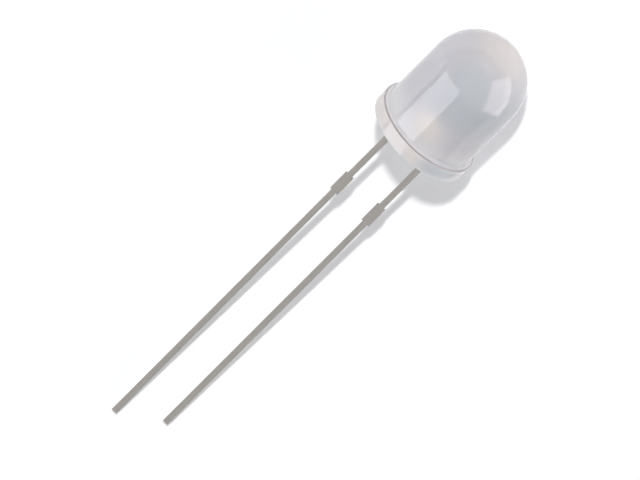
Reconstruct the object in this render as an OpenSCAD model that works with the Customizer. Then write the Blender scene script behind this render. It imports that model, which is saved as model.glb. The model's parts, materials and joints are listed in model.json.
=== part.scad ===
// Through hole LED: a round milky lens body cast round a stamped leadframe.
// Every piece is drawn with +X as the optical axis, from the leads towards the dome, and with the two leads
// side by side in the XY plane, the anode at +Y. The origin is the centre of the flat base, where the leads
// leave the lens body. at_rest() then turns the part about the origin, so that it lies as it comes to rest:
// on the rear rim of its flange and on the tips of both leads, with the dome a little off the surface.

/* [Lens body] */
// Diameter of the straight barrel
body_d = 8; // [6:0.1:12]
// Height from the base to the top of the dome
body_h = 10.7; // [9:0.1:16]
// How far the flange stands out past the barrel
flange_lip = 0.35; // [0.2:0.05:1]
// Thickness of the flange
flange_t = 1.2; // [0.8:0.1:2.5]
// Rounding of the flange's front edge
flange_round = 0.1; // [0.05:0.01:0.18]

/* [Leads] */
// Width of each lead, across the pair
lead_w = 0.5; // [0.4:0.05:0.7]
// Thickness of the sheet that both leads are stamped from
sheet_t = 0.5; // [0.3:0.05:0.7]
// Distance between the centre lines of the leads
lead_pitch = 3.4; // [2.5:0.1:4.5]
// Length of the longer lead, the anode, from the base to its tip
anode_len = 35.7; // [14:0.1:45]
// How much shorter the cathode lead is
cathode_cut = 2.5; // [0:0.1:3]
// Distance from the base to the shoulder of the stand-off stops
stop_drop = 6.7; // [2:0.1:9]
// Length of each stop along its lead
stop_len = 1.8; // [0.5:0.1:2.5]
// How far a stop stands out past each edge of its lead
stop_ear = 0.15; // [0.1:0.05:0.4]

/* [Leadframe inside the lens] */
// Height above the base at which the leads widen
flare_h = 1.8; // [1.4:0.1:2.4]
// Height of the reflector cup's rim above the base
cup_h = 5.3; // [4.8:0.1:6.2]
// Outside diameter of the cup at its rim
cup_d = 1.5; // [1.3:0.1:1.8]
// How much the cup's outside widens, on each side, from its neck to its rim
cup_flare = 0.1; // [0.05:0.05:0.2]
// How far the anvil's top stays inside the cup's neck, on each side
anvil_inset = 0.1; // [0.08:0.01:0.2]
// Thickness of the cup's wall at the rim
cup_wall = 0.15; // [0.1:0.05:0.25]
// Depth of the cup
cup_depth = 0.45; // [0.35:0.05:0.7]
// Diameter of the cup's flat floor
cup_floor_d = 0.7; // [0.6:0.05:0.85]
// Thickness of metal under the cup's floor
cup_base_t = 0.5; // [0.3:0.1:0.8]
// Width of the slot between the two halves of the leadframe
frame_gap = 0.4; // [0.25:0.05:0.6]
// Distance from the optical axis to the inner corner of the post's flag
flag_inset = 0.3; // [0.1:0.05:0.6]
// Height of the post's bond pad above the cup's rim
post_rise = 0.15; // [0:0.05:0.4]

/* [Chip and wire] */
// Side of the square chip
die_w = 0.35; // [0.25:0.01:0.4]
// Thickness of the chip
die_t = 0.2; // [0.12:0.01:0.3]
// Thickness of the silver adhesive under the chip
attach_t = 0.03; // [0.02:0.01:0.05]
// How far the adhesive spreads past the corners of the chip
attach_lip = 0.04; // [0.02:0.01:0.08]
// Diameter of the bond wire
wire_d = 0.03; // [0.02:0.005:0.04]
// Height of the wire's loop over the straight line between its ends
wire_loop = 0.45; // [0.3:0.05:0.6]
// Diameter of the bond at each end of the wire
bond_d = 0.09; // [0.07:0.01:0.12]
// Thickness of the bond at each end of the wire
bond_t = 0.03; // [0.02:0.01:0.05]

/* [Hidden] */
body_r = body_d / 2;
flange_r = body_r + flange_lip;
dome_x = body_h - body_r; // centre of the dome, where the barrel ends

half_w = lead_w / 2;
lead_y = lead_pitch / 2;
cathode_len = anode_len - cathode_cut;
frame_edge = lead_y + half_w; // outer edge of the leadframe, on both sides

cup_floor_x = cup_h - cup_depth;
neck_x = cup_floor_x - cup_base_t; // underside of the cup's head
neck_d = cup_d - 2 * cup_flare;
anvil_top = neck_d / 2 - anvil_inset; // half the width of the anvil where it enters the head
shoulder_x = (flare_h + neck_x) / 2; // where the anvil's outer edge turns in to the head

// The slot: the anvil's inner edge runs from slot_a to slot_b. The flag's slanted edge is parallel to it,
// one slot's width from the corner of the cup's neck.
slot_a = [flare_h, half_w - lead_y];
slot_b = [neck_x, anvil_top];
slot_dir = (slot_b - slot_a) / norm(slot_b - slot_a);
flag_start = [neck_x, neck_d / 2] + frame_gap * [-slot_dir[1], slot_dir[0]]; // a point on the flag's edge
pad_x = cup_h + post_rise;
pad_y = cup_d / 2 + frame_gap; // inner edge of the post's top
flag_foot_x = (flare_h + flag_x(flag_inset)) / 2;

die_x = cup_floor_x + attach_t;
die_top = die_x + die_t;
attach_d = die_w * sqrt(2) + 2 * attach_lip;

// The wire's loop is one arc between the bond on the chip and the bond on the post.
wire_a = [die_top + bond_t / 2, 0];
wire_b = [pad_x + bond_t / 2, (pad_y + frame_edge) / 2];
wire_span = norm(wire_b - wire_a);
wire_dir = (wire_b - wire_a) / wire_span;
wire_r = (wire_span * wire_span / 4 + wire_loop * wire_loop) / (2 * wire_loop);
wire_mid = (wire_a + wire_b) / 2 + (wire_r - wire_loop) * [-wire_dir[1], wire_dir[0]];
wire_half = asin(wire_span / 2 / wire_r); // half the angle that the loop turns through
wire_over = atan2(-wire_dir[0], wire_dir[1]); // direction from the arc's centre to the top of the loop
wire_sweep = wire_loop > wire_r ? 2 * (180 - wire_half) : 2 * wire_half;

// The rest pose. A roll about the optical axis brings the flange's rear rim and both tips into one plane:
// there, on_sine * sin(rest_roll) + on_cosine * cos(rest_roll) = rim_rise. A pitch then lays it level.
slope_gap = 1 / cathode_len - 1 / anode_len;
rim_rise = flange_r * slope_gap;
on_sine = (lead_y - half_w) / anode_len + (lead_y + half_w) / cathode_len;
on_cosine = sheet_t / 2 * slope_gap;
rest_roll = asin(rim_rise / norm([on_sine, on_cosine])) - atan2(on_cosine, on_sine);
tip_z = (lead_y - half_w) * sin(rest_roll) - sheet_t / 2 * cos(rest_roll); // the anode tip's lowest corner
rest_pitch = atan((flange_r + tip_z) / anode_len);

smooth = 96; // facets on the body's round faces
fine = 32; // facets on the cup, the adhesive and the wire

// x on the flag's slanted edge at a distance y from the optical axis
function flag_x(y) = flag_start[0] + (y - flag_start[1]) * slot_dir[0] / slot_dir[1];

// Turns a finished piece from the drawing's axes to the way the part lies
module at_rest() {
    rotate([0, -rest_pitch, 0]) rotate([rest_roll, 0, 0]) children();
}

// Turns a shape made along +Z to lie along the optical axis, with its base at x
module along_axis(x = 0) {
    translate([x, 0, 0]) rotate([0, 90, 0]) children();
}

// Sheet metal lying in the XY plane, half its thickness on each side
module stamped() {
    linear_extrude(height = sheet_t, center = true) children();
}

// Outline of the straight part of a lead, from its tip to inside the lens, with its stand-off stop
module lead_outline(y, length) {
    translate([-length, y - half_w]) square([length + flare_h, lead_w]);
    translate([-stop_drop - stop_len, y - half_w - stop_ear]) square([stop_len, lead_w + 2 * stop_ear]);
}

// Half section of the lens body: a flange with a rounded front edge, the barrel and the dome
module body_section() {
    square([flange_r, flange_t - flange_round]);
    square([flange_r - flange_round, flange_t]);
    translate([flange_r - flange_round, flange_t - flange_round]) circle(r = flange_round, $fn = fine);
    square([body_r, dome_x]);
    translate([0, dome_x]) intersection() {
        circle(r = body_r, $fn = smooth);
        square(body_r);
    }
}

// Solid outside shape of the lens body, before it is cast round what it holds
module body_blank() {
    along_axis() rotate_extrude($fn = smooth) body_section();
}

// The post: the anode lead, with a flag that ends in the wire's bond pad
module anode_shape() {
    stamped() {
        lead_outline(lead_y, anode_len);
        polygon([
            [flare_h, frame_edge],
            [flare_h, lead_y - half_w],
            [flag_foot_x, lead_y - half_w],
            [flag_x(flag_inset), flag_inset],
            [flag_x(pad_y), pad_y],
            [pad_x, pad_y],
            [pad_x, frame_edge]
        ]);
    }
}

// The anvil: the cathode lead, widening to a head with the reflector cup pressed into its end
module cathode_shape() {
    stamped() {
        lead_outline(-lead_y, cathode_len);
        polygon([
            [flare_h, -frame_edge],
            [shoulder_x, -frame_edge],
            [neck_x, -anvil_top],
            [cup_floor_x - cup_base_t / 2, -anvil_top],
            [cup_floor_x - cup_base_t / 2, anvil_top],
            slot_b,
            slot_a
        ]);
    }
    difference() {
        along_axis(neck_x) cylinder(h = cup_h - neck_x, d1 = neck_d, d2 = cup_d, $fn = fine);
        cup_hollow();
    }
}

// The polished cone of the reflector cup
module cup_hollow() {
    along_axis(cup_floor_x)
        cylinder(h = cup_depth, d1 = cup_floor_d, d2 = cup_d - 2 * cup_wall, $fn = fine);
}

module die_shape() {
    translate([die_x, -die_w / 2, -die_w / 2]) cube([die_t, die_w, die_w]);
}

module attach_shape() {
    along_axis(cup_floor_x) cylinder(h = attach_t, d = attach_d, $fn = fine);
}

// The arc of the wire, with the flattened bond at each end
module wire_shape() {
    translate(wire_mid) rotate([0, 0, wire_over - wire_sweep / 2])
        rotate_extrude(angle = wire_sweep, $fn = smooth)
            translate([wire_r, 0]) circle(d = wire_d, $fn = fine);
    for (at = [[die_top, wire_a[1]], [pad_x, wire_b[1]]])
        translate([0, at[1], 0]) along_axis(at[0]) cylinder(h = bond_t, d = bond_d, $fn = fine);
}

module lens_body() {
    color([0.86, 0.86, 0.88, 0.75]) at_rest() difference() {
        body_blank();
        anode_shape();
        cathode_shape();
        attach_shape();
        die_shape();
        wire_shape();
    }
}

module anode_lead() {
    color([0.62, 0.6, 0.58]) at_rest() anode_shape();
}

module cathode_lead() {
    color([0.66, 0.64, 0.62]) at_rest() cathode_shape();
}

module led_die() {
    color([0.16, 0.5, 0.3]) at_rest() die_shape();
}

module die_attach() {
    color([0.8, 0.8, 0.78]) at_rest() attach_shape();
}

module bond_wire() {
    color([0.9, 0.72, 0.3]) at_rest() wire_shape();
}

lens_body();
anode_lead();
cathode_lead();
led_die();
die_attach();
bond_wire();
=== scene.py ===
import json
import math

import bmesh
import bpy
import numpy as np
from mathutils import Matrix, Vector


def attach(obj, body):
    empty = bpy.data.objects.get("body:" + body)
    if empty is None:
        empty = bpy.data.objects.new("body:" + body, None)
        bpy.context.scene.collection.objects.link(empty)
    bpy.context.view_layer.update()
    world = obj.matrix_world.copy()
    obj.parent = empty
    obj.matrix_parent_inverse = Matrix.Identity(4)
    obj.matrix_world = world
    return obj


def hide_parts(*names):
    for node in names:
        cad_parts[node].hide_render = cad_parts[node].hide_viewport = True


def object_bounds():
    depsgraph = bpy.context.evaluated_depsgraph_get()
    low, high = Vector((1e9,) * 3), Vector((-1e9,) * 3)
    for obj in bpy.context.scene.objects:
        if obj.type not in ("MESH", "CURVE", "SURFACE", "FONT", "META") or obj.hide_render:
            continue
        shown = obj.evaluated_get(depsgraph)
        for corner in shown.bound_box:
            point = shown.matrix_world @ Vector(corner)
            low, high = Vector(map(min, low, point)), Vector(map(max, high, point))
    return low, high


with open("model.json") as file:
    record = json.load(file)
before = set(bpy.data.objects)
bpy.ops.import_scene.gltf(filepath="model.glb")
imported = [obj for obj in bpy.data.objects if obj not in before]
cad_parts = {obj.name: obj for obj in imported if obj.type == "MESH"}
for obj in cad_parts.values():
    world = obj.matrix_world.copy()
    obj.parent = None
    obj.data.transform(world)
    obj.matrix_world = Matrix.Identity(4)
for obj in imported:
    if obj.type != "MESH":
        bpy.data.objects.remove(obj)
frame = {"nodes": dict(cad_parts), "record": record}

bl_info = {
    "name": "Through Hole LED",
    "version": (1, 0, 0),
    "blender": (4, 5, 0),
    "location": "View3D > Sidebar > LED",
    "description": "Dresses a milky through hole LED and sets a plain studio round it",
    "category": "Object",
}

# ---- What the frame says: the LED's own axes and its main sizes, in metres ----

MM = 0.001
BODY = "root"
LEADS = ("anode_lead", "cathode_lead")
CAD_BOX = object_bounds()
MOUNTS = {m["name"]: m for m in frame["record"]["mounts"]}

# The optical axis points from the leads to the dome. The camera's side is the one that panel_stop lies on.
AXIS = Vector(MOUNTS["panel_barrel"]["axis"]).normalized()
STOP = Vector(MOUNTS["panel_stop"]["pos_m"])
FACE = (STOP - AXIS * STOP.dot(AXIS)).normalized()
SIDE = FACE.cross(AXIS)
LED_TO_FRAME = Matrix((AXIS, SIDE, FACE)).transposed()
FRAME_TO_LED = LED_TO_FRAME.transposed()


def led_points(node):
    """The corners of a CAD node's mesh along the LED's own axes, as rows of axis, side and face."""
    mesh = frame["nodes"][node].data
    return np.array([FRAME_TO_LED @ v.co for v in mesh.vertices])


BODY_POINTS = led_points("lens_body")
BODY_H = BODY_POINTS[:, 0].max()
BODY_R = MOUNTS["panel_barrel"]["dims"]["r_mm"] * MM
FLANGE_R = np.hypot(BODY_POINTS[:, 1], BODY_POINTS[:, 2]).max()
FLANGE_T = STOP.dot(AXIS)
DOME_CENTRE = AXIS * (BODY_H - BODY_R)


def lead_section(node):
    """(centre to the side, half width, half thickness) of a lead's square section, measured at its tip."""
    points = led_points(node)
    tip = points[points[:, 0] < points[:, 0].min() + MM]
    low, high = tip.min(axis=0), tip.max(axis=0)
    return (low[1] + high[1]) / 2, (high[1] - low[1]) / 2, (high[2] - low[2]) / 2


LEAD_SECTIONS = [lead_section(lead) for lead in LEADS]

# Corners of a mesh that lie closer than this are one corner.
SAME_PLACE = 0.0005 * MM
# Faces that turn more than this where they meet have an edge between them.
EDGE_ANGLE = math.radians(40)


# ---- Colours and nodes ----

# What the values of a noise pattern mostly keep between.
NOISE_LOW = 0.3
NOISE_HIGH = 0.7


def linear(hex_colour):
    """An sRGB colour such as "#E0E0E0" as linear red, green, blue and alpha."""
    parts = [int(hex_colour[i:i + 2], 16) / 255 for i in (1, 3, 5)]
    return [c / 12.92 if c <= 0.04045 else ((c + 0.055) / 1.055) ** 2.4 for c in parts] + [1.0]


def add(tree, kind, inputs=(), **settings):
    """Adds a node with its settings. An input given as a socket is linked, and any other is a value."""
    node = tree.nodes.new(kind)
    for name, value in settings.items():
        setattr(node, name, value)
    for name, value in dict(inputs).items():
        if isinstance(value, bpy.types.NodeSocket):
            tree.links.new(value, node.inputs[name])
        else:
            node.inputs[name].default_value = value
    return node


def new_material(name):
    """An empty material, and its node tree."""
    material = bpy.data.materials.new(name)
    material.use_nodes = True
    material.node_tree.nodes.clear()
    return material, material.node_tree


def along_led(tree, stretch=(1, 1, 1)):
    """Coordinates along the LED's own axes, in metres. A stretch draws a pattern out along one of them."""
    place = add(tree, "ShaderNodeTexCoord").outputs["Object"]
    turn = FRAME_TO_LED.to_euler("XYZ")
    turned = add(tree, "ShaderNodeMapping", {"Vector": place, "Rotation": turn}).outputs["Vector"]
    return add(tree, "ShaderNodeMapping", {"Vector": turned, "Scale": stretch}).outputs["Vector"]


def flattened(tree, place):
    """Coordinates along the LED's axes with the one along the optical axis taken out."""
    return add(tree, "ShaderNodeMapping", {"Vector": place, "Scale": (0, 1, 1)}).outputs["Vector"]


def soft_spot(tree, place, height, side, length, width):
    """An oval spot that goes right through the body, from 0 at its edge to 1 in its middle."""
    flat = add(tree, "ShaderNodeMapping", {
        "Vector": place,
        "Location": (-height / length, -side / width, 0),
        "Scale": (1 / length, 1 / width, 0),
    })
    spot = add(tree, "ShaderNodeTexGradient", {
        "Vector": flat.outputs["Vector"],
    }, gradient_type="SPHERICAL")
    return spot.outputs["Fac"]


def lens_tone_with_painted_light(tree, place, sizes):
    """The resin's colour, with light and shade painted into it: cool milk along the barrel, paler low on
    the barrel, and a painted warm light at the flange and the top.

    Painted spots stand in for the leadframe inside: a painted warm glow where light gets past it, and
    painted shade in a cool colour over the cup and over the cathode's foot.
    """
    parts = add(tree, "ShaderNodeSeparateXYZ", {"Vector": place})
    # The lean tilts the tone's bands so that they rise towards the anode, the side the lamps light more:
    # painted light.
    leaned = add(tree, "ShaderNodeMath", {
        0: parts.outputs["Y"],
        1: -sizes.tone_lean,
        2: parts.outputs["X"],
    }, operation="MULTIPLY_ADD")
    past = add(tree, "ShaderNodeMath", {0: leaned.outputs[0], 1: sizes.tone_middle}, operation="SUBTRACT")
    from_middle = add(tree, "ShaderNodeMath", {0: past.outputs[0]}, operation="ABSOLUTE")
    end = add(tree, "ShaderNodeMapRange", {
        "Value": from_middle.outputs[0],
        "From Min": sizes.barrel_tone,
        "From Max": sizes.barrel_tone + sizes.tone_fade,
    }, interpolation_type="SMOOTHSTEP")
    # The pale foot reaches from the flange to the middle of the barrel, where neither of its ends shows.
    low_wall = add(tree, "ShaderNodeMath", {
        0: parts.outputs["X"],
        1: (sizes.tone_middle + FLANGE_T) / 2,
        2: (sizes.tone_middle - FLANGE_T) / 2,
    }, operation="COMPARE")
    # Painted light: the warm colour at the flange and the top stands in for light shining through the
    # resin. The pale foot only makes the low barrel paler.
    ends = add(tree, "ShaderNodeMix", {
        "Factor": low_wall.outputs[0],
        "A": linear(sizes.warm_light_colour),
        "B": linear(sizes.pale_colour),
    }, data_type="RGBA")
    milk = add(tree, "ShaderNodeMix", {
        "Factor": end.outputs["Result"],
        "A": linear(sizes.milk_colour),
        "B": ends.outputs["Result"],
    }, data_type="RGBA")

    # Painted light: a warm glow low on the barrel, where light gets in past the leadframe.
    glow = soft_spot(tree, place, sizes.glow_height, sizes.glow_side, sizes.glow_length, sizes.glow_width)
    lit = add(tree, "ShaderNodeMapRange", {"Value": glow}, interpolation_type="SMOOTHERSTEP")
    lit_milk = add(tree, "ShaderNodeMix", {
        "Factor": lit.outputs["Result"],
        "A": milk.outputs["Result"],
        "B": linear(sizes.glow_colour),
    }, data_type="RGBA")

    # Painted shade: the leadframe's shade over the cathode's foot and over the cup, laid on in the painted
    # shade colour.
    foot = soft_spot(tree, place, sizes.foot_height, sizes.foot_side, sizes.foot_length, sizes.foot_width)
    cup = soft_spot(tree, place, sizes.cup_height, sizes.cup_side, sizes.cup_length, sizes.cup_width)
    # Noise breaks the painted shade over the cup up into soft clouds.
    cloud = add(tree, "ShaderNodeTexNoise", {
        "Vector": place,
        "Scale": 1 / sizes.cloud_size,
        "Detail": 2.0,
    })
    swirl = add(tree, "ShaderNodeMapRange", {
        "Value": cloud.outputs["Fac"],
        "From Min": NOISE_LOW,
        "From Max": NOISE_HIGH,
        "To Min": 1 - sizes.cloud_share,
        "To Max": 1 + sizes.cloud_share,
    })
    cloudy = add(tree, "ShaderNodeMath", {0: cup, 1: swirl.outputs["Result"]}, operation="MULTIPLY")
    both = add(tree, "ShaderNodeMath", {0: cloudy.outputs[0], 1: foot}, operation="MAXIMUM")
    deep = add(tree, "ShaderNodeMapRange", {
        "Value": both.outputs[0],
        "From Max": sizes.shade_full,
    }, interpolation_type="SMOOTHERSTEP")
    tone = add(tree, "ShaderNodeMix", {
        "Factor": deep.outputs["Result"],
        "A": lit_milk.outputs["Result"],
        "B": linear(sizes.painted_shade_colour),
    }, data_type="RGBA")
    return tone.outputs["Result"]


def painted_edge_shade(tree, place, sizes):
    """1 on the fine painted shade line round the flange's front edge, and 0 elsewhere."""
    parts = add(tree, "ShaderNodeSeparateXYZ", {"Vector": place})
    line_x = FLANGE_T - sizes.line_inset
    past = add(tree, "ShaderNodeMath", {0: parts.outputs["X"], 1: line_x}, operation="SUBTRACT")
    along = add(tree, "ShaderNodeMath", {0: past.outputs[0]}, operation="ABSOLUTE")
    out = add(tree, "ShaderNodeVectorMath", {"Vector": flattened(tree, place)}, operation="LENGTH")
    line_r = FLANGE_R - sizes.front_round
    inside = add(tree, "ShaderNodeMath", {0: line_r, 1: out.outputs["Value"]}, operation="SUBTRACT")
    away = add(tree, "ShaderNodeMath", {0: along.outputs[0], 1: inside.outputs[0]}, operation="MAXIMUM")
    line = add(tree, "ShaderNodeMapRange", {
        "Value": away.outputs[0],
        "From Min": sizes.line_width * (1 - sizes.line_blur) / 2,
        "From Max": sizes.line_width * (1 + sizes.line_blur) / 2,
        "To Min": 1.0,
        "To Max": 0.0,
    })
    return line.outputs["Result"]


def milky_epoxy(sizes):
    """Clear epoxy with a white diffusing powder, cast in a polished mould and not worked afterwards.

    It is glossy, with patches of faint haze and the mould's faint ripples. Light goes in deep, and red a
    little deeper than blue, which softens every tone. Its colour holds painted light and shade, and a fine
    painted shade line round the flange's front edge.
    """
    material, tree = new_material("milky_epoxy")
    place = along_led(tree)
    # Painted shade: a fine dark line round the flange's front edge, where the step lies in shade.
    tone = add(tree, "ShaderNodeMix", {
        "Factor": painted_edge_shade(tree, place, sizes),
        "A": lens_tone_with_painted_light(tree, place, sizes),
        "B": linear(sizes.edge_shade_colour),
    }, data_type="RGBA")
    haze = add(tree, "ShaderNodeTexNoise", {
        "Vector": place,
        "Scale": 1 / sizes.haze_size,
        "Detail": 4.0,
    })
    rough = add(tree, "ShaderNodeMapRange", {
        "Value": haze.outputs["Fac"],
        "To Min": sizes.roughness * sizes.haze_low,
        "To Max": sizes.roughness * sizes.haze_high,
    })
    ripple = add(tree, "ShaderNodeTexNoise", {
        "Vector": place,
        "Scale": 1 / sizes.ripple_size,
        "Detail": 1.0,
    })
    bump = add(tree, "ShaderNodeBump", {
        "Height": ripple.outputs["Fac"],
        "Distance": sizes.ripple_depth,
        "Strength": 1.0,
    })
    surface = add(tree, "ShaderNodeBsdfPrincipled", {
        "Base Color": tone.outputs["Result"],
        "Roughness": rough.outputs["Result"],
        "IOR": 1.53,
        "Subsurface Weight": 1.0,
        "Subsurface Radius": (1.0, 0.95, 0.9),
        "Subsurface Scale": sizes.light_depth,
        "Normal": bump.outputs["Normal"],
    }, subsurface_method="RANDOM_WALK")
    add(tree, "ShaderNodeOutputMaterial", {"Surface": surface.outputs["BSDF"]})
    return material


def tinned_steel(sizes):
    """Low carbon steel strip, rolled, stamped into leads and plated with matte tin.

    The tin is a dull warm grey with the strip's faint rolling lines. Its grain is drawn coarse enough to
    show, and blurs what it mirrors.
    """
    material, tree = new_material("tinned_steel")
    lines = add(tree, "ShaderNodeTexNoise", {
        "Vector": along_led(tree, (1 / sizes.line_stretch, 1, 1)),
        "Scale": 1 / sizes.line_gap,
        "Detail": 3.0,
    })
    grain = add(tree, "ShaderNodeTexNoise", {
        "Vector": along_led(tree),
        "Scale": 1 / sizes.grain_size,
        "Detail": 3.0,
    })
    patina = add(tree, "ShaderNodeMix", {
        "Factor": lines.outputs["Fac"],
        "A": linear(sizes.dull_colour),
        "B": linear(sizes.bright_colour),
    }, data_type="RGBA")
    rough = add(tree, "ShaderNodeMapRange", {
        "Value": grain.outputs["Fac"],
        "To Min": sizes.roughness - sizes.grain_haze,
        "To Max": sizes.roughness + sizes.grain_haze,
    })
    scored = add(tree, "ShaderNodeBump", {
        "Height": lines.outputs["Fac"],
        "Distance": sizes.line_depth,
        "Strength": 1.0,
    })
    grained = add(tree, "ShaderNodeBump", {
        "Height": grain.outputs["Fac"],
        "Distance": sizes.grain_depth,
        "Strength": 1.0,
        "Normal": scored.outputs["Normal"],
    })
    surface = add(tree, "ShaderNodeBsdfPrincipled", {
        "Base Color": patina.outputs["Result"],
        "Metallic": 1.0,
        "Roughness": rough.outputs["Result"],
        "Normal": grained.outputs["Normal"],
    })
    add(tree, "ShaderNodeOutputMaterial", {"Surface": surface.outputs["BSDF"]})
    return material


def sawn_chip(sizes):
    """A chip sawn from a polished wafer of semiconductor: dark green and glassy, with saw marks."""
    material, tree = new_material("led_chip")
    marks = add(tree, "ShaderNodeTexWave", {
        "Vector": along_led(tree),
        "Scale": 1 / sizes.saw_size,
        "Distortion": 1.5,
    }, bands_direction="X")
    tone = add(tree, "ShaderNodeMix", {
        "Factor": marks.outputs["Fac"],
        "A": linear(sizes.chip_colour),
        "B": linear(sizes.chip_edge_colour),
    }, data_type="RGBA")
    surface = add(tree, "ShaderNodeBsdfPrincipled", {
        "Base Color": tone.outputs["Result"],
        "Roughness": 0.2,
        "IOR": 2.4,
    })
    add(tree, "ShaderNodeOutputMaterial", {"Surface": surface.outputs["BSDF"]})
    return material


def silver_adhesive(sizes):
    """Epoxy paste full of silver flakes, cured: matte, pale grey and speckled where flakes face up."""
    material, tree = new_material("silver_adhesive")
    flakes = add(tree, "ShaderNodeTexVoronoi", {
        "Vector": along_led(tree),
        "Scale": 1 / sizes.flake_size,
    })
    tone = add(tree, "ShaderNodeMix", {
        "Factor": flakes.outputs["Distance"],
        "A": linear(sizes.flake_colour),
        "B": linear(sizes.paste_colour),
    }, data_type="RGBA")
    surface = add(tree, "ShaderNodeBsdfPrincipled", {
        "Base Color": tone.outputs["Result"],
        "Metallic": 0.7,
        "Roughness": 0.5,
    })
    add(tree, "ShaderNodeOutputMaterial", {"Surface": surface.outputs["BSDF"]})
    return material


def drawn_gold(sizes):
    """Soft gold wire, drawn through a die: bright, and faintly uneven where the die has rubbed it."""
    material, tree = new_material("gold_wire")
    rubbed = add(tree, "ShaderNodeTexNoise", {
        "Vector": along_led(tree),
        "Scale": 1 / sizes.rub_size,
        "Detail": 2.0,
    })
    tone = add(tree, "ShaderNodeMix", {
        "Factor": rubbed.outputs["Fac"],
        "A": linear(sizes.gold_colour),
        "B": linear(sizes.gold_shade),
    }, data_type="RGBA")
    surface = add(tree, "ShaderNodeBsdfPrincipled", {
        "Base Color": tone.outputs["Result"],
        "Metallic": 1.0,
        "Roughness": 0.18,
    })
    add(tree, "ShaderNodeOutputMaterial", {"Surface": surface.outputs["BSDF"]})
    return material


def wear(obj, material):
    """Gives an object one material over all of its faces."""
    obj.data.materials.clear()
    obj.data.materials.append(material)


def join_corners(obj):
    """Joins the corners that a CAD node's mesh holds more than once, so that its faces close up."""
    joined = obj.modifiers.new("joined corners", "WELD")
    joined.merge_threshold = SAME_PLACE


# ---- The lens ----


def arc(centre, radius, start, end, steps):
    """Points of an arc as (along the axis, out from it), with angles in degrees from the axis."""
    points = []
    for i in range(steps + 1):
        angle = math.radians(start + (end - start) * i / steps)
        points.append((centre[0] + radius * math.cos(angle), centre[1] + radius * math.sin(angle)))
    return points


def lens_outline(sizes):
    """Half section of the lens, from its base to its dome, without the points that lie on its axis."""
    rim, front, root = sizes.rim_round, sizes.front_round, sizes.root_round
    dome_x = BODY_H - BODY_R
    flat_r = FLANGE_R - rim
    rings = math.ceil(flat_r / sizes.base_step)
    points = [(0, flat_r * i / rings) for i in range(1, rings)]
    points += arc((rim, flat_r), rim, 180, 90, sizes.fillet_steps)
    points += arc((FLANGE_T - front, FLANGE_R - front), front, 90, 0, sizes.front_steps)
    points += arc((FLANGE_T + root, BODY_R + root), root, 180, 270, sizes.fillet_steps)
    steps = math.ceil((dome_x - FLANGE_T - root) / sizes.wall_step)
    start = FLANGE_T + root
    points += [(start + (dome_x - start) * i / steps, BODY_R) for i in range(1, steps)]
    points += arc((dome_x, 0), BODY_R, 90, 0, sizes.dome_steps)[:-1]
    return points


def base_height(side, face, sizes):
    """How far the base lies inside its rim's plane: the resin sinks there, and climbs at each lead."""
    to_rim = max(FLANGE_R - sizes.rim_round - math.hypot(side, face), 0)
    sink = sizes.base_sink * (1 - math.exp(-to_rim / sizes.rim_climb))
    for centre, half_w, half_t in LEAD_SECTIONS:
        gap = math.hypot(max(abs(side - centre) - half_w, 0), max(abs(face) - half_t, 0))
        sink -= sizes.base_sink * sizes.climb_share * math.exp(-gap / sizes.lead_climb)
    return sink


def lens_mesh(sizes):
    """The lens as one closed mesh, turned round its axis and placed in the shared frame."""
    outline = lens_outline(sizes)
    spokes = sizes.spokes

    points = [(base_height(0, 0, sizes), 0, 0)]
    for x, r in outline:
        for k in range(spokes):
            angle = math.tau * k / spokes
            side, face = r * math.cos(angle), r * math.sin(angle)
            on_base = x == 0 and r < FLANGE_R - sizes.rim_round
            points.append((base_height(side, face, sizes) if on_base else x, side, face))
    points.append((BODY_H, 0, 0))
    faces = [(0, 1 + (k + 1) % spokes, 1 + k) for k in range(spokes)]
    for ring in range(len(outline) - 1):
        near, far = 1 + ring * spokes, 1 + (ring + 1) * spokes
        for k in range(spokes):
            after = (k + 1) % spokes
            faces.append((near + k, near + after, far + after, far + k))
    last, top = 1 + (len(outline) - 1) * spokes, len(points) - 1
    faces += [(top, last + k, last + (k + 1) % spokes) for k in range(spokes)]
    mesh = bpy.data.meshes.new("cast_lens")
    mesh.from_pydata([LED_TO_FRAME @ Vector(p) for p in points], [], faces)
    return mesh


def closed_copy(node):
    """A copy of a CAD node with its split corners joined, which a boolean cut needs."""
    mesh = frame["nodes"][node].data.copy()
    work = bmesh.new()
    work.from_mesh(mesh)
    bmesh.ops.remove_doubles(work, verts=work.verts, dist=SAME_PLACE)
    work.to_mesh(mesh)
    work.free()
    copy = bpy.data.objects.new(node + "_cutter", mesh)
    bpy.context.scene.collection.objects.link(copy)
    return copy


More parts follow.
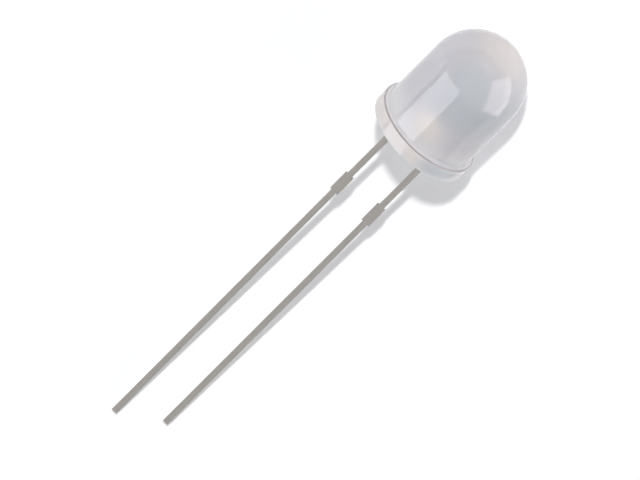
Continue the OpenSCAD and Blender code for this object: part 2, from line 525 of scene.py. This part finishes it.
class LensSizes(bpy.types.PropertyGroup):
    """Finish of the cast lens"""

    spokes: bpy.props.IntProperty(
        name="Spokes", description="Steps round the lens",
        default=256, min=32)
    dome_steps: bpy.props.IntProperty(
        name="Dome steps", description="Steps up the dome",
        default=64, min=8)
    fillet_steps: bpy.props.IntProperty(
        name="Fillet steps", description="Steps round the rear edge, and round the fillet at the root",
        default=5, min=1)
    front_steps: bpy.props.IntProperty(
        name="Front steps", description="Steps round the front edge",
        default=6, min=1)
    base_step: bpy.props.FloatProperty(
        name="Base step", description="Distance between the base's rings",
        default=0.08 * MM, unit="LENGTH")
    wall_step: bpy.props.FloatProperty(
        name="Wall step", description="Distance between the barrel's rings",
        default=0.2 * MM, unit="LENGTH")
    rim_round: bpy.props.FloatProperty(
        name="Rear rim", description="Rounding of the flange's rear edge",
        default=0.05 * MM, unit="LENGTH")
    front_round: bpy.props.FloatProperty(
        name="Front edge", description="Rounding of the flange's front edge",
        default=0.1 * MM, unit="LENGTH")
    root_round: bpy.props.FloatProperty(
        name="Root", description="Fillet where the barrel meets the flange",
        default=0.24 * MM, unit="LENGTH")
    base_sink: bpy.props.FloatProperty(
        name="Base sink", description="How far the resin sinks inside the base's rim",
        default=0.1 * MM, unit="LENGTH")
    rim_climb: bpy.props.FloatProperty(
        name="Rim climb", description="Distance over which the resin climbs to the rim",
        default=0.3 * MM, unit="LENGTH")
    lead_climb: bpy.props.FloatProperty(
        name="Lead climb", description="Distance over which the resin climbs up a lead",
        default=0.12 * MM, unit="LENGTH")
    climb_share: bpy.props.FloatProperty(
        name="Climb share", description="How much of the sink the resin climbs back at a lead",
        default=0.9, min=0, max=1, subtype="FACTOR")
    milk_colour: bpy.props.StringProperty(
        name="Milk", description="The resin along the barrel",
        default="#CDCBCF")
    warm_light_colour: bpy.props.StringProperty(
        name="Warm light", description="Painted warm light at the flange and the top",
        default="#DBD4D1")
    pale_colour: bpy.props.StringProperty(
        name="Pale colour", description="The resin low on the barrel",
        default="#DCDADB")
    painted_shade_colour: bpy.props.StringProperty(
        name="Shade colour", description="Painted shade over the cup and the cathode's foot",
        default="#C4C7CB")
    tone_middle: bpy.props.FloatProperty(
        name="Tone middle", description="Height of the middle of the barrel's tone over the base",
        default=6.4 * MM, unit="LENGTH")
    barrel_tone: bpy.props.FloatProperty(
        name="Barrel tone", description="How far the barrel's tone reaches from its middle",
        default=2.4 * MM, unit="LENGTH")
    tone_fade: bpy.props.FloatProperty(
        name="Tone fade", description="Distance over which the barrel's tone turns to those at its ends",
        default=2.8 * MM, unit="LENGTH")
    tone_lean: bpy.props.FloatProperty(
        name="Tone lean", description="Slope of the barrel's tone, which rises towards the anode",
        default=0.1)
    cup_height: bpy.props.FloatProperty(
        name="Cup height", description="Height of the cup's shade over the base",
        default=7 * MM, unit="LENGTH")
    cup_side: bpy.props.FloatProperty(
        name="Cup side", description="How far the cup's shade lies towards the anode",
        default=-1 * MM, unit="LENGTH")
    cup_length: bpy.props.FloatProperty(
        name="Cup length", description="Reach of the cup's shade along the axis",
        default=4 * MM, unit="LENGTH")
    cup_width: bpy.props.FloatProperty(
        name="Cup width", description="Reach of the cup's shade to each side",
        default=4.6 * MM, unit="LENGTH")
    glow_colour: bpy.props.StringProperty(
        name="Glow colour", description="The resin where light gets in past the leadframe",
        default="#E0DAD6")
    glow_height: bpy.props.FloatProperty(
        name="Glow height", description="Height of that glow over the base",
        default=3.3 * MM, unit="LENGTH")
    glow_side: bpy.props.FloatProperty(
        name="Glow side", description="How far the glow lies towards the anode",
        default=0.1 * MM, unit="LENGTH")
    glow_length: bpy.props.FloatProperty(
        name="Glow length", description="Reach of the glow along the axis",
        default=2.2 * MM, unit="LENGTH")
    glow_width: bpy.props.FloatProperty(
        name="Glow width", description="Reach of the glow to each side",
        default=2.4 * MM, unit="LENGTH")
    foot_height: bpy.props.FloatProperty(
        name="Foot height", description="Height of the cathode's shade over the base",
        default=0.6 * MM, unit="LENGTH")
    foot_side: bpy.props.FloatProperty(
        name="Foot side", description="How far the cathode's shade lies towards the anode",
        default=-2.8 * MM, unit="LENGTH")
    foot_length: bpy.props.FloatProperty(
        name="Foot length", description="Reach of the cathode's shade along the axis",
        default=1.5 * MM, unit="LENGTH")
    foot_width: bpy.props.FloatProperty(
        name="Foot width", description="Reach of the cathode's shade to each side",
        default=2.6 * MM, unit="LENGTH")
    shade_full: bpy.props.FloatProperty(
        name="Full shade", description="Where a shade is at its full, from 0 at its edge to 1 inside",
        default=0.8, min=0.01, max=1, subtype="FACTOR")
    edge_shade_colour: bpy.props.StringProperty(
        name="Edge shade", description="The painted shade line round the flange's front edge",
        default="#A19A9C")
    line_width: bpy.props.FloatProperty(
        name="Line width", description="Width of the painted shade line",
        default=0.09 * MM, unit="LENGTH")
    line_blur: bpy.props.FloatProperty(
        name="Line blur", description="Share of the painted shade line's width over which it fades",
        default=0.2, min=0.01, max=1, subtype="FACTOR")
    line_inset: bpy.props.FloatProperty(
        name="Line inset", description="How far the painted shade line lies behind the flange's front",
        default=0.04 * MM, unit="LENGTH")
    cloud_size: bpy.props.FloatProperty(
        name="Cloud size", description="Size of the soft clouds in the painted shade over the cup",
        default=5 * MM, unit="LENGTH")
    cloud_share: bpy.props.FloatProperty(
        name="Cloud share", description="How much the clouds show",
        default=0.3, min=0, max=1, subtype="FACTOR")
    light_depth: bpy.props.FloatProperty(
        name="Light depth", description="How deep light goes between two scatterings",
        default=2.5 * MM, unit="LENGTH")
    roughness: bpy.props.FloatProperty(
        name="Roughness", description="Roughness of the moulded surface",
        default=0.09, min=0, max=1, subtype="FACTOR")
    haze_low: bpy.props.FloatProperty(
        name="Clear gloss", description="Roughness where the gloss is clear, as a share of the whole",
        default=0.8, min=0)
    haze_high: bpy.props.FloatProperty(
        name="Hazy gloss", description="Roughness where the gloss is hazy, as a share of the whole",
        default=1.3, min=0)
    haze_size: bpy.props.FloatProperty(
        name="Haze size", description="Size of the patches where the gloss varies",
        default=0.8 * MM, unit="LENGTH")
    ripple_size: bpy.props.FloatProperty(
        name="Ripple size", description="Size of the mould's faint ripples",
        default=1.5 * MM, unit="LENGTH")
    ripple_depth: bpy.props.FloatProperty(
        name="Ripple depth", description="Depth of the mould's faint ripples",
        default=0.004 * MM, unit="LENGTH")


class LED_OT_cast_lens(bpy.types.Operator):
    """Cast the milky lens round the leadframe"""

    bl_idname = "led.cast_lens"
    bl_label = "Cast Lens"

    def execute(self, context):
        sizes = context.scene.led_lens
        lens = bpy.data.objects.new("cast_lens", lens_mesh(sizes))
        context.scene.collection.objects.link(lens)
        cutters = [closed_copy(node) for node in LEADS]
        for cutter in cutters:
            cut = lens.modifiers.new("pocket", "BOOLEAN")
            cut.operation = "DIFFERENCE"
            cut.solver = "EXACT"
            cut.object = cutter
        # The pockets' walls come out as many-sided faces. They are split here, so that none folds over.
        split = lens.modifiers.new("pocket walls", "TRIANGULATE")
        split.min_vertices = 5
        split.ngon_method = "BEAUTY"
        depsgraph = context.evaluated_depsgraph_get()
        lens.data = bpy.data.meshes.new_from_object(lens.evaluated_get(depsgraph))
        lens.data.name = "cast_lens"
        lens.modifiers.clear()
        for cutter in cutters:
            bpy.data.objects.remove(cutter)
        lens.data.shade_smooth()
        lens.data.set_sharp_from_angle(angle=EDGE_ANGLE)
        wear(lens, milky_epoxy(sizes))
        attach(lens, BODY)
        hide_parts("lens_body")
        return {"FINISHED"}


# ---- The leads ----


class LeadSizes(bpy.types.PropertyGroup):
    """Finish of the leads"""

    edge_round: bpy.props.FloatProperty(
        name="Edge rounding", description="Rounding that the plating gives the stamped edges",
        default=0.03 * MM, unit="LENGTH")
    dull_colour: bpy.props.StringProperty(
        name="Dull tin", description="Tin at its dullest",
        default="#B9B3A9")
    bright_colour: bpy.props.StringProperty(
        name="Bright tin", description="Tin at its brightest",
        default="#CCC6BC")
    roughness: bpy.props.FloatProperty(
        name="Roughness", description="Roughness of the matte tin",
        default=0.45, min=0, max=1, subtype="FACTOR")
    line_gap: bpy.props.FloatProperty(
        name="Line gap", description="Distance between the strip's rolling lines",
        default=0.08 * MM, unit="LENGTH")
    line_stretch: bpy.props.FloatProperty(
        name="Line stretch", description="How many times longer the rolling lines are than wide",
        default=25, min=1)
    line_depth: bpy.props.FloatProperty(
        name="Line depth", description="Depth of the strip's rolling lines",
        default=0.004 * MM, unit="LENGTH")
    grain_size: bpy.props.FloatProperty(
        name="Grain size", description="Size of the tin's grain",
        default=0.06 * MM, unit="LENGTH")
    grain_depth: bpy.props.FloatProperty(
        name="Grain depth", description="Depth of the tin's grain",
        default=0.003 * MM, unit="LENGTH")
    grain_haze: bpy.props.FloatProperty(
        name="Grain haze", description="How much the grain raises and lowers the roughness",
        default=0.08, min=0, max=1, subtype="FACTOR")


class LED_OT_plate_leads(bpy.types.Operator):
    """Round the stamped edges of both leads and plate them with tin"""

    bl_idname = "led.plate_leads"
    bl_label = "Plate Leads"

    def execute(self, context):
        sizes = context.scene.led_leads
        tin = tinned_steel(sizes)
        for name in LEADS:
            lead = frame["nodes"][name]
            join_corners(lead)
            rounded = lead.modifiers.new("plated edges", "BEVEL")
            rounded.width = sizes.edge_round
            rounded.segments = 3
            rounded.limit_method = "ANGLE"
            rounded.angle_limit = EDGE_ANGLE
            wear(lead, tin)
        return {"FINISHED"}


# ---- The chip, its adhesive and its wire ----


class ChipSizes(bpy.types.PropertyGroup):
    """Finish of the chip and what holds and feeds it"""

    chip_colour: bpy.props.StringProperty(
        name="Chip", description="The chip's faces",
        default="#2E7A4A")
    chip_edge_colour: bpy.props.StringProperty(
        name="Saw marks", description="The saw marks",
        default="#1C4A33")
    saw_size: bpy.props.FloatProperty(
        name="Saw size", description="Size of the saw marks' pattern, whose marks lie a third of it apart",
        default=0.02 * MM, unit="LENGTH")
    flake_colour: bpy.props.StringProperty(
        name="Flakes", description="Silver flakes",
        default="#D8D8D4")
    paste_colour: bpy.props.StringProperty(
        name="Paste", description="Resin between the flakes",
        default="#9A9994")
    flake_size: bpy.props.FloatProperty(
        name="Flake size", description="Size of a silver flake",
        default=0.01 * MM, unit="LENGTH")
    gold_colour: bpy.props.StringProperty(
        name="Gold", description="The wire",
        default="#F2C75C")
    gold_shade: bpy.props.StringProperty(
        name="Gold shade", description="The wire where the die has rubbed it",
        default="#D9A441")
    rub_size: bpy.props.FloatProperty(
        name="Rub size", description="Size of the places where the die has rubbed the wire",
        default=0.01 * MM, unit="LENGTH")


class LED_OT_finish_chip(bpy.types.Operator):
    """Finish the chip in the cup"""

    bl_idname = "led.finish_chip"
    bl_label = "Finish Chip"

    def execute(self, context):
        chip = frame["nodes"]["led_die"]
        join_corners(chip)
        wear(chip, sawn_chip(context.scene.led_chip))
        return {"FINISHED"}


class LED_OT_finish_adhesive(bpy.types.Operator):
    """Finish the silver adhesive under the chip"""

    bl_idname = "led.finish_adhesive"
    bl_label = "Finish Adhesive"

    def execute(self, context):
        pad = frame["nodes"]["die_attach"]
        join_corners(pad)
        wear(pad, silver_adhesive(context.scene.led_chip))
        return {"FINISHED"}


class LED_OT_finish_wire(bpy.types.Operator):
    """Finish the gold wire between the chip and the post"""

    bl_idname = "led.finish_wire"
    bl_label = "Finish Wire"

    def execute(self, context):
        wire = frame["nodes"]["bond_wire"]
        join_corners(wire)
        wear(wire, drawn_gold(context.scene.led_chip))
        return {"FINISHED"}


# ---- The stage ----


class StageSizes(bpy.types.PropertyGroup):
    """Floor, lamps and camera"""

    floor_size: bpy.props.FloatProperty(
        name="Floor size", description="Side of the square floor",
        default=4.0, unit="LENGTH")
    floor_colour: bpy.props.StringProperty(
        name="Floor", description="Colour of the floor",
        default="#F0F0F0")
    floor_glow: bpy.props.FloatProperty(
        name="Floor glow", description="White that the camera sees over the floor's own",
        default=0.18, min=0)
    world_light: bpy.props.FloatProperty(
        name="Room light", description="Strength of the white room",
        default=0.1, min=0)
    lamp_distance: bpy.props.FloatProperty(
        name="Lamp distance", description="How far the large lamps stand from the dome",
        default=1.2, unit="LENGTH")
    key_light: bpy.props.FloatProperty(
        name="Key light", description="Light of the key lamp on a face turned to it, where pi is white",
        default=2.0, min=0)
    key_angle: bpy.props.FloatProperty(
        name="Key size", description="How wide the key lamp looks",
        default=math.radians(4), subtype="ANGLE")
    key_lean: bpy.props.FloatProperty(
        name="Key lean", description="How far the key lamp leans from the camera to the view's top",
        default=math.radians(14), subtype="ANGLE")
    box_light: bpy.props.FloatProperty(
        name="Box brightness", description="Brightness of the box over the leads",
        default=2.9, min=0)
    box_colour: bpy.props.StringProperty(
        name="Box colour", description="Colour of the box",
        default="#F4F7FF")
    strip_light: bpy.props.FloatProperty(
        name="Strip brightness", description="Brightness of the low strip on the anode's side",
        default=1.1, min=0)
    strip_colour: bpy.props.StringProperty(
        name="Strip colour", description="Colour of the strip",
        default="#FFFFFF")
    fill_light: bpy.props.FloatProperty(
        name="Fill brightness", description="Brightness of the fill on the cathode's side",
        default=2.0, min=0)
    fill_colour: bpy.props.StringProperty(
        name="Fill colour", description="Colour of the fill",
        default="#FFFFFF")
    card_light: bpy.props.FloatProperty(
        name="Card brightness", description="Brightness of the card beside the dome",
        default=3.0, min=0)
    card_colour: bpy.props.StringProperty(
        name="Card colour", description="Colour of the card",
        default="#FFF0F6")
    head_light: bpy.props.FloatProperty(
        name="Head brightness", description="Brightness of the lamp beyond the dome",
        default=0.5, min=0)
    head_colour: bpy.props.StringProperty(
        name="Head colour", description="Colour of the head lamp",
        default="#FFF7F5")
    lens_length: bpy.props.FloatProperty(
        name="Focal length", description="Focal length in millimetres",
        default=1000)
    field: bpy.props.FloatProperty(
        name="Field", description="Width of what the camera sees at the part",
        default=48.56 * MM, unit="LENGTH")
    tilt: bpy.props.FloatProperty(
        name="Tilt", description="Angle between the optical axis and the line to the camera",
        default=math.radians(61.2), subtype="ANGLE")
    right: bpy.props.FloatProperty(
        name="Right", description="How far the base's centre lies right of the view's middle",
        default=7.57 * MM, unit="LENGTH")
    up: bpy.props.FloatProperty(
        name="Up", description="How far the base's centre lies above the view's middle",
        default=7.85 * MM, unit="LENGTH")


def view_axes(sizes):
    """The view's right and up, and the way back to the camera. The leads run to the view's lower left."""
    back = AXIS * math.cos(sizes.tilt) + FACE * math.sin(sizes.tilt)
    uphill = AXIS * math.sin(sizes.tilt) - FACE * math.cos(sizes.tilt)
    return (uphill - SIDE).normalized(), (uphill + SIDE).normalized(), back


def long_camera(sizes):
    """A camera with a long lens, which looks down from the dome's side."""
    right, up, back = view_axes(sizes)
    data = bpy.data.cameras.new("camera")
    data.lens = sizes.lens_length
    data.clip_end = 100
    distance = sizes.field * sizes.lens_length / data.sensor_width
    target = -right * sizes.right - up * sizes.up
    camera = bpy.data.objects.new("camera", data)
    turn = Matrix((right, up, back)).transposed()
    camera.matrix_world = Matrix.Translation(target + back * distance) @ turn.to_4x4()
    bpy.context.scene.collection.objects.link(camera)
    return camera


def pale_card(sizes):
    """Matte card of a pale grey. Its white glow is only seen, and lights nothing."""
    material, tree = new_material("floor_card")
    card = add(tree, "ShaderNodeBsdfDiffuse", {"Color": linear(sizes.floor_colour)})
    path = add(tree, "ShaderNodeLightPath")
    seen = path.outputs["Is Camera Ray"]
    for ray in ("Is Glossy Ray", "Is Transmission Ray"):
        either = add(tree, "ShaderNodeMath", {0: seen, 1: path.outputs[ray]}, operation="MAXIMUM")
        seen = either.outputs[0]
    amount = add(tree, "ShaderNodeMath", {0: seen, 1: sizes.floor_glow}, operation="MULTIPLY")
    glow = add(tree, "ShaderNodeEmission", {"Strength": amount.outputs[0]})
    both = add(tree, "ShaderNodeAddShader", {0: card.outputs[0], 1: glow.outputs[0]})
    add(tree, "ShaderNodeOutputMaterial", {"Surface": both.outputs[0]})
    return material


def card_floor(sizes):
    """A square floor at the part's lowest point."""
    low = CAD_BOX[0].z
    half = sizes.floor_size / 2
    mesh = bpy.data.meshes.new("floor")
    corners = [(x * half, y * half, low) for x, y in ((-1, -1), (1, -1), (1, 1), (-1, 1))]
    mesh.from_pydata(corners, [], [(0, 1, 2, 3)])
    floor = bpy.data.objects.new("floor", mesh)
    bpy.context.scene.collection.objects.link(floor)
    wear(floor, pale_card(sizes))
    return floor


def white_room(sizes):
    """A room that looks white to the camera, and lights the part only faintly."""
    world = bpy.data.worlds.new("room")
    world.use_nodes = True
    tree = world.node_tree
    tree.nodes.clear()
    path = add(tree, "ShaderNodeLightPath")
    strength = add(tree, "ShaderNodeMapRange", {
        "Value": path.outputs["Is Camera Ray"],
        "To Min": sizes.world_light,
        "To Max": 1.0,
    })
    room = add(tree, "ShaderNodeBackground", {"Strength": strength.outputs["Result"]})
    add(tree, "ShaderNodeOutputWorld", {"Surface": room.outputs["Background"]})
    return world


def key_lamp(sizes):
    """The key lamp. It leans from the camera to the view's top, so shadows fall towards the view's foot."""
    up, back = view_axes(sizes)[1:]
    light = bpy.data.lights.new("key", "SUN")
    light.energy = sizes.key_light
    light.angle = sizes.key_angle
    lamp = bpy.data.objects.new("key", light)
    towards = back * math.cos(sizes.key_lean) + up * math.sin(sizes.key_lean)
    lamp.rotation_mode = "QUATERNION"
    lamp.rotation_quaternion = towards.to_track_quat("Z", "Y")
    lamp.visible_glossy = False
    bpy.context.scene.collection.objects.link(lamp)


def lit_area(name, from_axis, bearing, distance, across, along, brightness, colour):
    """A softbox that faces the dome. Its brightness is that of its face, so its size doesn't change it.

    It lies at an angle from the optical axis and at a bearing round that axis, both in degrees. A bearing
    starts at the camera's side and grows towards the anode. The side called across is square to the axis.
    """
    light = bpy.data.lights.new(name, "AREA")
    light.shape = "RECTANGLE"
    light.size = across
    light.size_y = along
    light.energy = brightness * math.pi * across * along
    light.color = linear(colour)[:3]
    lamp = bpy.data.objects.new(name, light)
    out = FACE * math.cos(math.radians(bearing)) + SIDE * math.sin(math.radians(bearing))
    back = AXIS * math.cos(math.radians(from_axis)) + out * math.sin(math.radians(from_axis))
    right = AXIS.cross(back).normalized()
    turn = Matrix((right, back.cross(right), back)).transposed()
    lamp.matrix_world = Matrix.Translation(DOME_CENTRE + back * distance) @ turn.to_4x4()
    lamp.visible_camera = False
    bpy.context.scene.collection.objects.link(lamp)
    return lamp


def softboxes(sizes, floor):
    """The lamps with a face: they draw the bands of gloss on the lens and fill its shades."""
    # The box stands over the leads on the anode's side, and shows as a band along the barrel. Only the
    # floor blocks its light, so the part's soft shadow from it doesn't grey the floor beyond the dome.
    box = lit_area(
        "box", from_axis=116, bearing=33, distance=sizes.lamp_distance, across=1.15, along=0.65,
        brightness=sizes.box_light, colour=sizes.box_colour)
    blockers = bpy.data.collections.new("box_blockers")
    blockers.objects.link(floor)
    box.light_linking.blocker_collection = blockers
    # The strip stands low beside it, and shows only as gloss on the barrel's flank, up to the band.
    strip = lit_area(
        "strip", from_axis=119, bearing=82, distance=sizes.lamp_distance, across=0.33, along=1.1,
        brightness=sizes.strip_light, colour=sizes.strip_colour)
    strip.visible_diffuse = False
    # The head lamp stands beyond the dome and lights its top.
    lit_area(
        "head", from_axis=18, bearing=0, distance=sizes.lamp_distance, across=0.7, along=0.5,
        brightness=sizes.head_light, colour=sizes.head_colour)
    # The fill stands low on the cathode's side, and shows in no gloss.
    fill = lit_area(
        "fill", from_axis=68, bearing=-76, distance=sizes.lamp_distance, across=0.7, along=1.5,
        brightness=sizes.fill_light, colour=sizes.fill_colour)
    fill.visible_glossy = False
    # The card stands close to the dome on the cathode's side, and shows only as its gloss.
    card = lit_area(
        "card", from_axis=69, bearing=-76, distance=28 * MM, across=30 * MM, along=38 * MM,
        brightness=sizes.card_light, colour=sizes.card_colour)
    card.visible_diffuse = False


class LED_OT_set_stage(bpy.types.Operator):
    """Set the white floor, the room, the lamps and the camera"""

    bl_idname = "led.set_stage"
    bl_label = "Set Stage"

    def execute(self, context):
        scene = context.scene
        sizes = scene.led_stage
        scene.view_settings.view_transform = "Standard"
        scene.camera = long_camera(sizes)
        floor = card_floor(sizes)
        scene.world = white_room(sizes)
        key_lamp(sizes)
        softboxes(sizes, floor)
        return {"FINISHED"}


# ---- The add-on ----

GROUPS = (
    ("led_lens", LensSizes),
    ("led_leads", LeadSizes),
    ("led_chip", ChipSizes),
    ("led_stage", StageSizes),
)
OPERATORS = (
    LED_OT_set_stage,
    LED_OT_plate_leads,
    LED_OT_cast_lens,
    LED_OT_finish_chip,
    LED_OT_finish_adhesive,
    LED_OT_finish_wire,
)


class LED_PT_sidebar(bpy.types.Panel):
    """Lists the steps that dress the LED, with their sizes and colours"""

    bl_idname = "LED_PT_sidebar"
    bl_label = "Through Hole LED"
    bl_space_type = "VIEW_3D"
    bl_region_type = "UI"
    bl_category = "LED"

    def draw(self, context):
        for operator in OPERATORS:
            self.layout.operator(operator.bl_idname)
        for name, group in GROUPS:
            box = self.layout.box()
            box.label(text=group.__doc__)
            for key in group.__annotations__:
                box.prop(getattr(context.scene, name), key)


def register():
    for name, group in GROUPS:
        bpy.utils.register_class(group)
        setattr(bpy.types.Scene, name, bpy.props.PointerProperty(type=group))
    for operator in OPERATORS:
        bpy.utils.register_class(operator)
    bpy.utils.register_class(LED_PT_sidebar)


def unregister():
    bpy.utils.unregister_class(LED_PT_sidebar)
    for operator in reversed(OPERATORS):
        bpy.utils.unregister_class(operator)
    for name, group in reversed(GROUPS):
        delattr(bpy.types.Scene, name)
        bpy.utils.unregister_class(group)


def main():
    register()
    bpy.ops.led.set_stage()
    bpy.ops.led.plate_leads()
    bpy.ops.led.cast_lens()
    bpy.ops.led.finish_chip()
    bpy.ops.led.finish_adhesive()
    bpy.ops.led.finish_wire()


if __name__ == "__main__":
    main()
